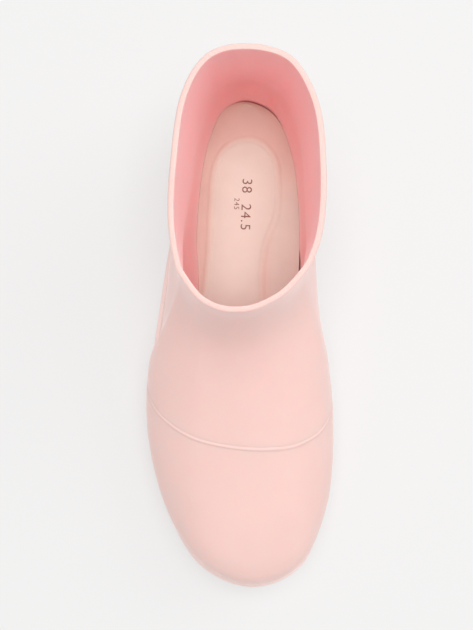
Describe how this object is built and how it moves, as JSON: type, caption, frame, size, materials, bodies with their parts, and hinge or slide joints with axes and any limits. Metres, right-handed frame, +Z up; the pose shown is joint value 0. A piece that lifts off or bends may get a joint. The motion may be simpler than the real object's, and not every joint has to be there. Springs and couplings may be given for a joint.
{
  "type": "ankle rain boot",
  "caption": "Right ankle rain boot: moulded shell with a line across the vamp, ledged sole with lugged treads and a footbed that lifts out.",
  "frame": {"origin": "on the ground, under the middle of the boot's box", "axes": "+Z up, -Y towards the toe, +X towards the big-toe side"},
  "size_m": [0.097, 0.264, 0.14],
  "materials": {
    "upper_rubber": "matte moulded, powder pink",
    "sole_rubber": "matte moulded, powder pink",
    "tread_rubber": "matte moulded, slightly darker pink",
    "board_fibre": "pressed fibre board",
    "shank_steel": "plain cold-rolled strip",
    "filler_foam": "cut foam",
    "footbed_foam": "moulded foam",
    "footbed_skin": "matte nude, embossed"
  },
  "bodies": {
    "boot": {"upper_shell": "upper_rubber", "sole_unit": "sole_rubber", "forefoot_tread": "tread_rubber", "heel_tread": "tread_rubber", "insole_board": "board_fibre", "shank": "shank_steel", "shank_rivet_front": "shank_steel", "shank_rivet_rear": "shank_steel", "forefoot_filler": "filler_foam", "heel_filler": "filler_foam"},
    "insole": {"footbed_foam": "footbed_foam", "footbed_cover": "footbed_skin"}
  },
  "joints": [
    {"name": "insole_lift", "type": "hinge", "parent": "boot", "child": "insole", "pos_m": [0.007, -0.1238, 0.0235], "axis": [1, 0, 0], "range_deg": [0, 18]}
  ]
}
